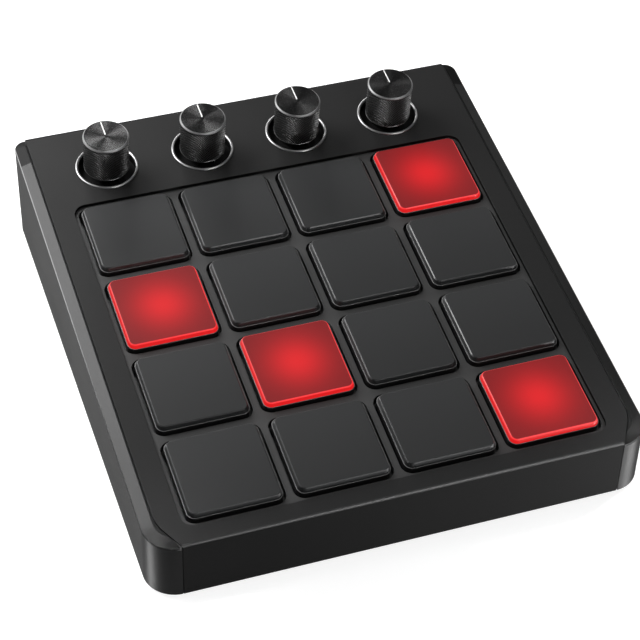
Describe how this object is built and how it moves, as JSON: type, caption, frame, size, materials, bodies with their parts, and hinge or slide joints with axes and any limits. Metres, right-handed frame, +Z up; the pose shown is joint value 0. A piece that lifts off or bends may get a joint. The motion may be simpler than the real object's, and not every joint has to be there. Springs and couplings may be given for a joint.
{
  "type": "pad controller",
  "caption": "Wedge-shaped desktop music controller with a square grid of lit press pads in front of a row of knurled knobs.",
  "frame": {"origin": "on the table surface, under the middle of the case's width and depth", "axes": "+X to the right of a player facing the front, +Y to the rear, +Z up"},
  "size_m": [0.16, 0.178, 0.0516],
  "materials": {
    "cover_paint": "matte black powder paint with a fine grain",
    "cheek_metal": "dark anodised, brushed along its length",
    "base_paint": "matte black",
    "foot_rubber": "matte",
    "grid_plastic": "fine matte",
    "cap_dark": "smoky translucent, unlit",
    "cap_lit": "translucent, lit red from below",
    "carrier_plastic": "black",
    "mat_silicone": "soft translucent",
    "sensor_film": "printed film",
    "board_laminate": "solder mask",
    "lamp_plastic": "white package",
    "chip_plastic": "moulded",
    "ribbon_film": "flat flexible cable",
    "socket_steel": "plated",
    "collar_metal": "turned bright lip, black inside",
    "pot_steel": "plated",
    "screw_steel": "blackened",
    "knob_metal": "black anodised, knurled side, spun top, bright chamfer",
    "shaft_steel": "turned"
  },
  "bodies": {
    "root": {"top_cover": "cover_paint", "left_cheek": "cheek_metal", "right_cheek": "cheek_metal", "base_plate": "base_paint", "feet": "foot_rubber", "pad_bezel": "grid_plastic", "spring_mat": "mat_silicone", "sensor_sheet": "sensor_film", "pad_board": "board_laminate", "pad_leds": "lamp_plastic", "control_board": "board_laminate", "board_parts": "chip_plastic", "ribbon_cable": "ribbon_film", "usb_socket": "socket_steel", "knob_collars": "collar_metal", "pot_bodies": "pot_steel", "pot_nuts": "pot_steel", "cover_screws": "screw_steel", "cheek_screws": "screw_steel", "board_screws": "screw_steel"},
    "pad_r1c1": {"pad_cap_r1c1": "cap_dark", "pad_carrier_r1c1": "carrier_plastic"},
    "pad_r1c2": {"pad_cap_r1c2": "cap_dark", "pad_carrier_r1c2": "carrier_plastic"},
    "pad_r1c3": {"pad_cap_r1c3": "cap_dark", "pad_carrier_r1c3": "carrier_plastic"},
    "pad_r1c4": {"pad_cap_r1c4": "cap_lit", "pad_carrier_r1c4": "carrier_plastic"},
    "pad_r2c1": {"pad_cap_r2c1": "cap_lit", "pad_carrier_r2c1": "carrier_plastic"},
    "pad_r2c2": {"pad_cap_r2c2": "cap_dark", "pad_carrier_r2c2": "carrier_plastic"},
    "pad_r2c3": {"pad_cap_r2c3": "cap_dark", "pad_carrier_r2c3": "carrier_plastic"},
    "pad_r2c4": {"pad_cap_r2c4": "cap_dark", "pad_carrier_r2c4": "carrier_plastic"},
    "pad_r3c1": {"pad_cap_r3c1": "cap_dark", "pad_carrier_r3c1": "carrier_plastic"},
    "pad_r3c2": {"pad_cap_r3c2": "cap_lit", "pad_carrier_r3c2": "carrier_plastic"},
    "pad_r3c3": {"pad_cap_r3c3": "cap_dark", "pad_carrier_r3c3": "carrier_plastic"},
    "pad_r3c4": {"pad_cap_r3c4": "cap_dark", "pad_carrier_r3c4": "carrier_plastic"},
    "pad_r4c1": {"pad_cap_r4c1": "cap_dark", "pad_carrier_r4c1": "carrier_plastic"},
    "pad_r4c2": {"pad_cap_r4c2": "cap_dark", "pad_carrier_r4c2": "carrier_plastic"},
    "pad_r4c3": {"pad_cap_r4c3": "cap_dark", "pad_carrier_r4c3": "carrier_plastic"},
    "pad_r4c4": {"pad_cap_r4c4": "cap_lit", "pad_carrier_r4c4": "carrier_plastic"},
    "turn_1": {"knob_1": "knob_metal", "pot_shaft_1": "shaft_steel"},
    "turn_2": {"knob_2": "knob_metal", "pot_shaft_2": "shaft_steel"},
    "turn_3": {"knob_3": "knob_metal", "pot_shaft_3": "shaft_steel"},
    "turn_4": {"knob_4": "knob_metal", "pot_shaft_4": "shaft_steel"}
  },
  "joints": [
    {"name": "press_r1c1", "type": "slide", "parent": "root", "child": "pad_r1c1", "axis": [0, 0.0872, -0.9962], "range_m": [0, 0.0012], "stiffness_N_per_m": 2500, "deforming": ["spring_mat"]},
    {"name": "press_r1c2", "type": "slide", "parent": "root", "child": "pad_r1c2", "axis": [0, 0.0872, -0.9962], "range_m": [0, 0.0012], "stiffness_N_per_m": 2500, "deforming": ["spring_mat"]},
    {"name": "press_r1c3", "type": "slide", "parent": "root", "child": "pad_r1c3", "axis": [0, 0.0872, -0.9962], "range_m": [0, 0.0012], "stiffness_N_per_m": 2500, "deforming": ["spring_mat"]},
    {"name": "press_r1c4", "type": "slide", "parent": "root", "child": "pad_r1c4", "axis": [0, 0.0872, -0.9962], "range_m": [0, 0.0012], "stiffness_N_per_m": 2500, "deforming": ["spring_mat"]},
    {"name": "press_r2c1", "type": "slide", "parent": "root", "child": "pad_r2c1", "axis": [0, 0.0872, -0.9962], "range_m": [0, 0.0012], "stiffness_N_per_m": 2500, "deforming": ["spring_mat"]},
    {"name": "press_r2c2", "type": "slide", "parent": "root", "child": "pad_r2c2", "axis": [0, 0.0872, -0.9962], "range_m": [0, 0.0012], "stiffness_N_per_m": 2500, "deforming": ["spring_mat"]},
    {"name": "press_r2c3", "type": "slide", "parent": "root", "child": "pad_r2c3", "axis": [0, 0.0872, -0.9962], "range_m": [0, 0.0012], "stiffness_N_per_m": 2500, "deforming": ["spring_mat"]},
    {"name": "press_r2c4", "type": "slide", "parent": "root", "child": "pad_r2c4", "axis": [0, 0.0872, -0.9962], "range_m": [0, 0.0012], "stiffness_N_per_m": 2500, "deforming": ["spring_mat"]},
    {"name": "press_r3c1", "type": "slide", "parent": "root", "child": "pad_r3c1", "axis": [0, 0.0872, -0.9962], "range_m": [0, 0.0012], "stiffness_N_per_m": 2500, "deforming": ["spring_mat"]},
    {"name": "press_r3c2", "type": "slide", "parent": "root", "child": "pad_r3c2", "axis": [0, 0.0872, -0.9962], "range_m": [0, 0.0012], "stiffness_N_per_m": 2500, "deforming": ["spring_mat"]},
    {"name": "press_r3c3", "type": "slide", "parent": "root", "child": "pad_r3c3", "axis": [0, 0.0872, -0.9962], "range_m": [0, 0.0012], "stiffness_N_per_m": 2500, "deforming": ["spring_mat"]},
    {"name": "press_r3c4", "type": "slide", "parent": "root", "child": "pad_r3c4", "axis": [0, 0.0872, -0.9962], "range_m": [0, 0.0012], "stiffness_N_per_m": 2500, "deforming": ["spring_mat"]},
    {"name": "press_r4c1", "type": "slide", "parent": "root", "child": "pad_r4c1", "axis": [0, 0.0872, -0.9962], "range_m": [0, 0.0012], "stiffness_N_per_m": 2500, "deforming": ["spring_mat"]},
    {"name": "press_r4c2", "type": "slide", "parent": "root", "child": "pad_r4c2", "axis": [0, 0.0872, -0.9962], "range_m": [0, 0.0012], "stiffness_N_per_m": 2500, "deforming": ["spring_mat"]},
    {"name": "press_r4c3", "type": "slide", "parent": "root", "child": "pad_r4c3", "axis": [0, 0.0872, -0.9962], "range_m": [0, 0.0012], "stiffness_N_per_m": 2500, "deforming": ["spring_mat"]},
    {"name": "press_r4c4", "type": "slide", "parent": "root", "child": "pad_r4c4", "axis": [0, 0.0872, -0.9962], "range_m": [0, 0.0012], "stiffness_N_per_m": 2500, "deforming": ["spring_mat"]},
    {"name": "knob_turn_1", "type": "hinge", "parent": "root", "child": "turn_1", "pos_m": [-0.05225, 0.06844, 0.03677], "axis": [0, -0.0872, 0.9962], "range_deg": [-140, 140]},
    {"name": "knob_turn_2", "type": "hinge", "parent": "root", "child": "turn_2", "pos_m": [-0.01875, 0.06844, 0.03677], "axis": [0, -0.0872, 0.9962], "range_deg": [-140, 140]},
    {"name": "knob_turn_3", "type": "hinge", "parent": "root", "child": "turn_3", "pos_m": [0.01475, 0.06844, 0.03677], "axis": [0, -0.0872, 0.9962], "range_deg": [-140, 140]},
    {"name": "knob_turn_4", "type": "hinge", "parent": "root", "child": "turn_4", "pos_m": [0.04825, 0.06844, 0.03677], "axis": [0, -0.0872, 0.9962], "range_deg": [-140, 140]}
  ]
}
